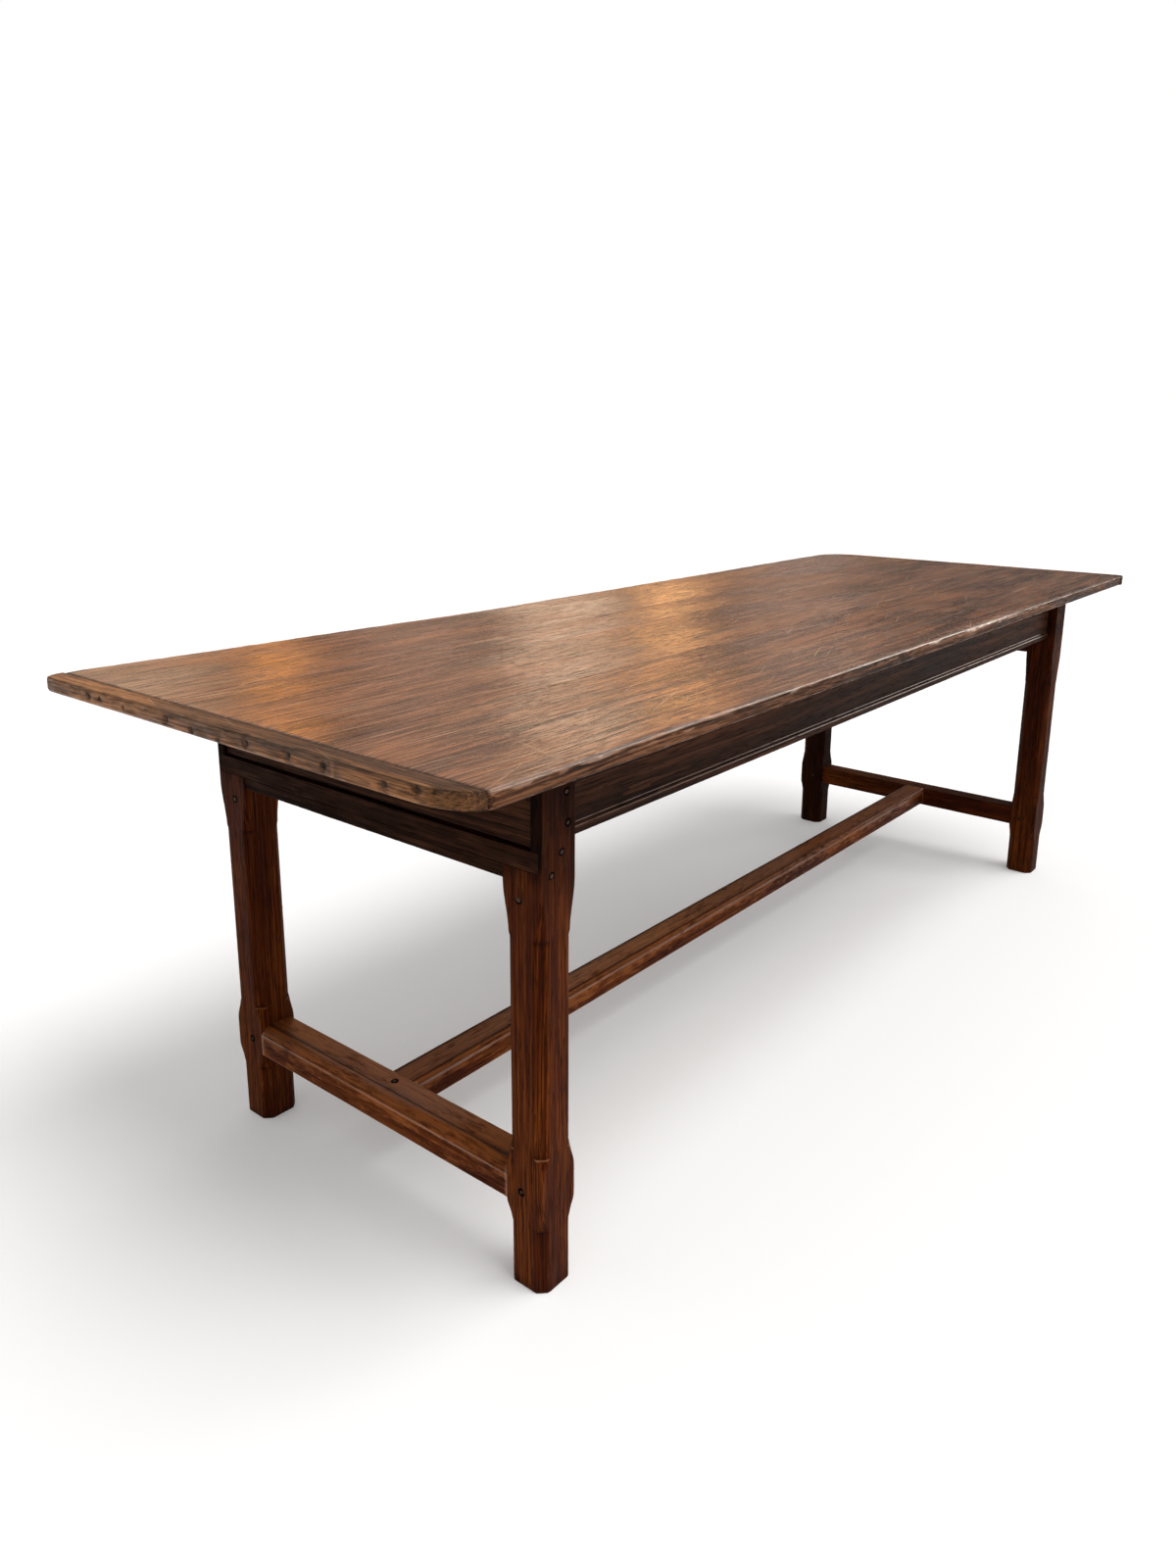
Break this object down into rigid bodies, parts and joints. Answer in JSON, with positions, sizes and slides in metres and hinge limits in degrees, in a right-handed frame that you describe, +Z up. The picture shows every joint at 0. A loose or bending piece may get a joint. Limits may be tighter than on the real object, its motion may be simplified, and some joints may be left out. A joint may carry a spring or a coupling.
{
  "type": "dining table",
  "caption": "Long old oak farmhouse table with a planked breadboard top, stop-chamfered square legs, low H stretchers and a drawer in one end.",
  "frame": {"origin": "on the floor, under the centre of the top's bounding box", "axes": "+X along the table from the drawer end to the plain end, +Y from the front long side to the back long side, +Z up"},
  "size_m": [2.3944, 0.891, 0.77],
  "materials": {
    "oak_top": "waxed, worn",
    "oak_cleat": "waxed, greyer, worn",
    "oak_frame": "waxed, glossy on worn edges",
    "oak_apron": "dark wax",
    "oak_peg": "end grain, dark",
    "oak_inside": "dry, unpolished",
    "iron": "black, slightly rusty"
  },
  "bodies": {
    "table": {"top_plank_front": "oak_top", "top_plank_second": "oak_top", "top_plank_third": "oak_top", "top_plank_back": "oak_top", "breadboard_end_drawer": "oak_cleat", "breadboard_end_far": "oak_cleat", "breadboard_nail_drawer_1": "iron", "breadboard_nail_drawer_2": "iron", "breadboard_nail_drawer_3": "iron", "breadboard_nail_drawer_4": "iron", "breadboard_nail_drawer_5": "iron", "breadboard_nail_far_1": "iron", "breadboard_nail_far_2": "iron", "breadboard_nail_far_3": "iron", "breadboard_nail_far_4": "iron", "breadboard_nail_far_5": "iron", "leg_drawer_front": "oak_frame", "leg_drawer_back": "oak_frame", "leg_far_front": "oak_frame", "leg_far_back": "oak_frame", "apron_front": "oak_apron", "apron_back": "oak_apron", "drawer_rail": "oak_apron", "end_apron_far": "oak_apron", "end_stretcher_drawer": "oak_frame", "end_stretcher_far": "oak_frame", "middle_stretcher": "oak_frame", "drawer_runner_front": "oak_inside", "drawer_runner_back": "oak_inside", "cross_rail": "oak_inside", "apron_peg_drawer_front_upper": "oak_peg", "apron_peg_drawer_front_lower": "oak_peg", "stretcher_peg_drawer_front": "oak_peg", "apron_peg_drawer_back_upper": "oak_peg", "apron_peg_drawer_back_lower": "oak_peg", "stretcher_peg_drawer_back": "oak_peg", "leg_plug_drawer_front_upper": "oak_peg", "leg_plug_drawer_front_lower": "oak_peg", "middle_stretcher_peg_drawer": "oak_peg", "apron_peg_far_front_upper": "oak_peg", "apron_peg_far_front_lower": "oak_peg", "stretcher_peg_far_front": "oak_peg", "apron_peg_far_back_upper": "oak_peg", "apron_peg_far_back_lower": "oak_peg", "stretcher_peg_far_back": "oak_peg", "leg_plug_far_front_upper": "oak_peg", "leg_plug_far_front_lower": "oak_peg", "middle_stretcher_peg_far": "oak_peg", "leg_end_plug_front": "oak_peg", "leg_end_plug_back": "oak_peg"},
    "drawer": {"drawer_front": "oak_apron", "drawer_side_front": "oak_inside", "drawer_side_back": "oak_inside", "drawer_back": "oak_inside", "drawer_bottom": "oak_inside", "drawer_knob": "oak_frame"}
  },
  "joints": [
    {"name": "drawer_slide", "type": "slide", "parent": "table", "child": "drawer", "axis": [-1, 0, 0], "range_m": [0, 0.42]}
  ]
}
